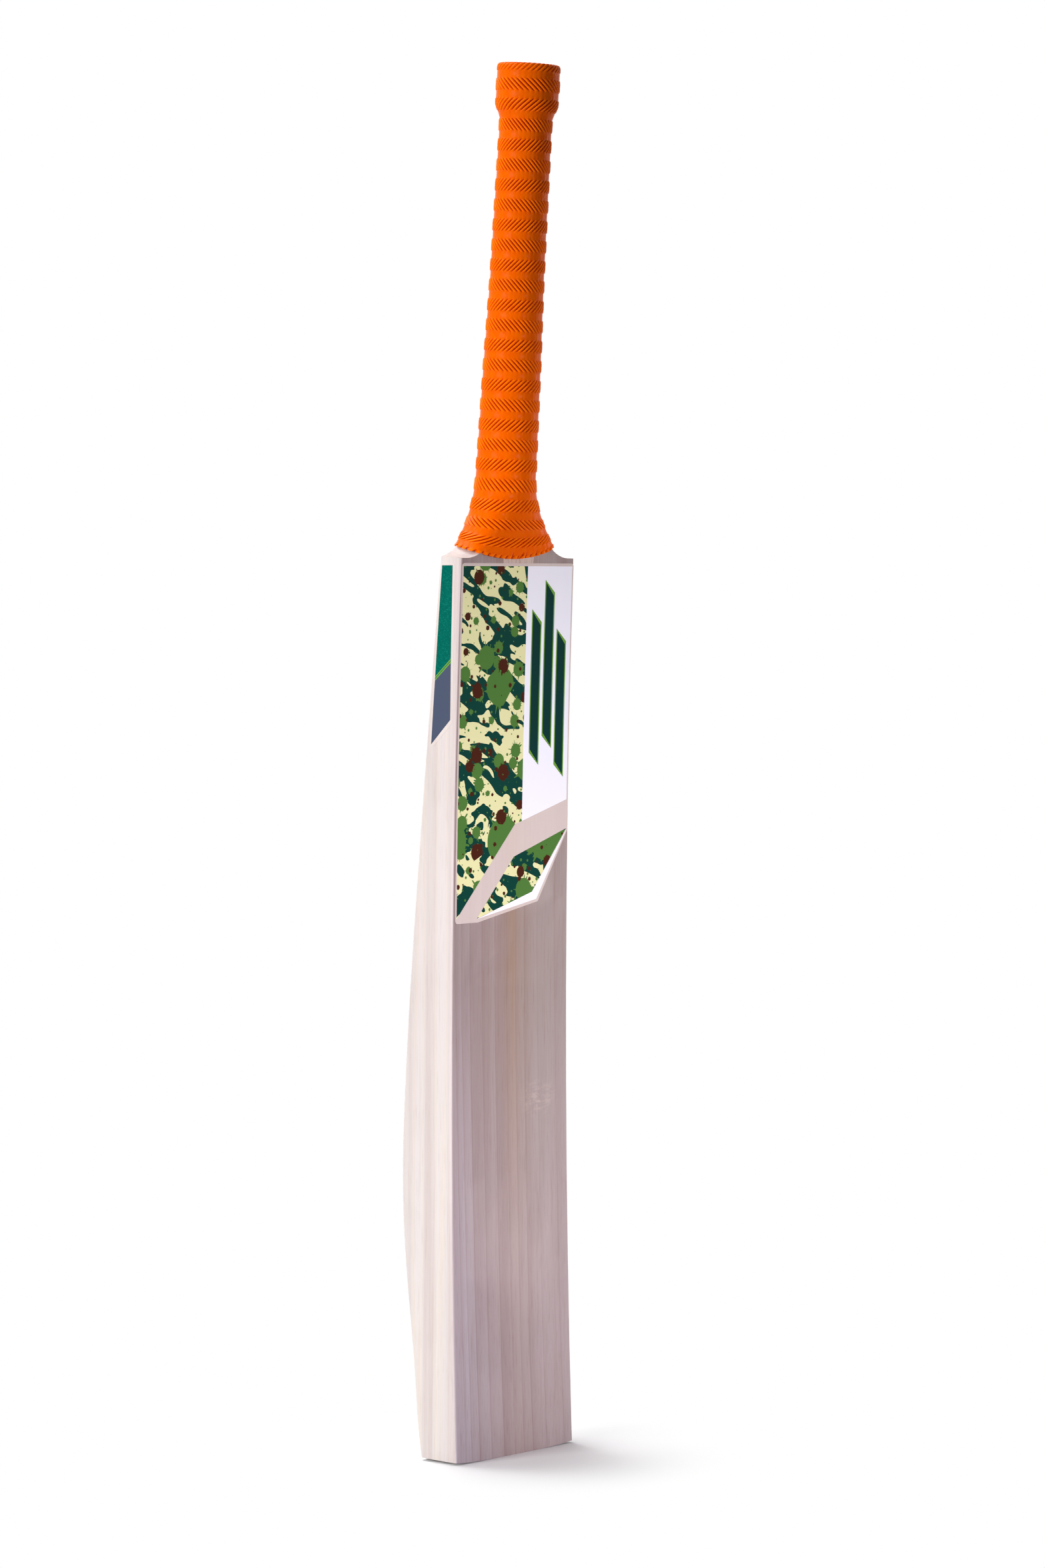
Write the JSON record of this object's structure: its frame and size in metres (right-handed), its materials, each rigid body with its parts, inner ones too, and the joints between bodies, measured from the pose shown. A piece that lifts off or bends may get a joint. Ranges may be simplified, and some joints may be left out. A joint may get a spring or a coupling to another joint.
{
  "type": "cricket bat",
  "caption": "Adult cricket bat: bowed willow blade with thick edges and spine, spliced laminated cane handle, twine binding, flared rubber grip, vinyl stickers.",
  "frame": {"origin": "centre of the blade's flat sole", "axes": "+Z runs from the toe up the blade to the handle, the hitting face looks along -Y, +X is to the right as one looks at the face; the handle leans 4.1 degrees towards the face"},
  "size_m": [0.108, 0.0941, 0.8504],
  "materials": {
    "willow": "sanded, satin clear coat",
    "cane": "bare laminated cane",
    "spring_rubber": "matt sheet",
    "cork": "bare cork sheet",
    "twine": "waxed twine, close wound",
    "grip_rubber": "satin moulded rubber",
    "face_film": "gloss printed vinyl",
    "edge_film": "gloss printed vinyl with metallic ink"
  },
  "bodies": {
    "root": {"cane_back_centre": "cane", "cane_back_left": "cane", "cane_back_right": "cane", "cane_front_centre": "cane", "cane_front_left": "cane", "cane_front_right": "cane", "cane_mid_back_centre": "cane", "cane_mid_back_left": "cane", "cane_mid_back_right": "cane", "cane_mid_front_centre": "cane", "cane_mid_front_left": "cane", "cane_mid_front_right": "cane", "edge_sticker": "edge_film", "face_sticker": "face_film", "rubber_grip": "grip_rubber", "spring_back": "spring_rubber", "spring_front": "spring_rubber", "spring_middle": "cork", "twine_binding": "twine", "willow_blade": "willow"}
  },
  "joints": []
}
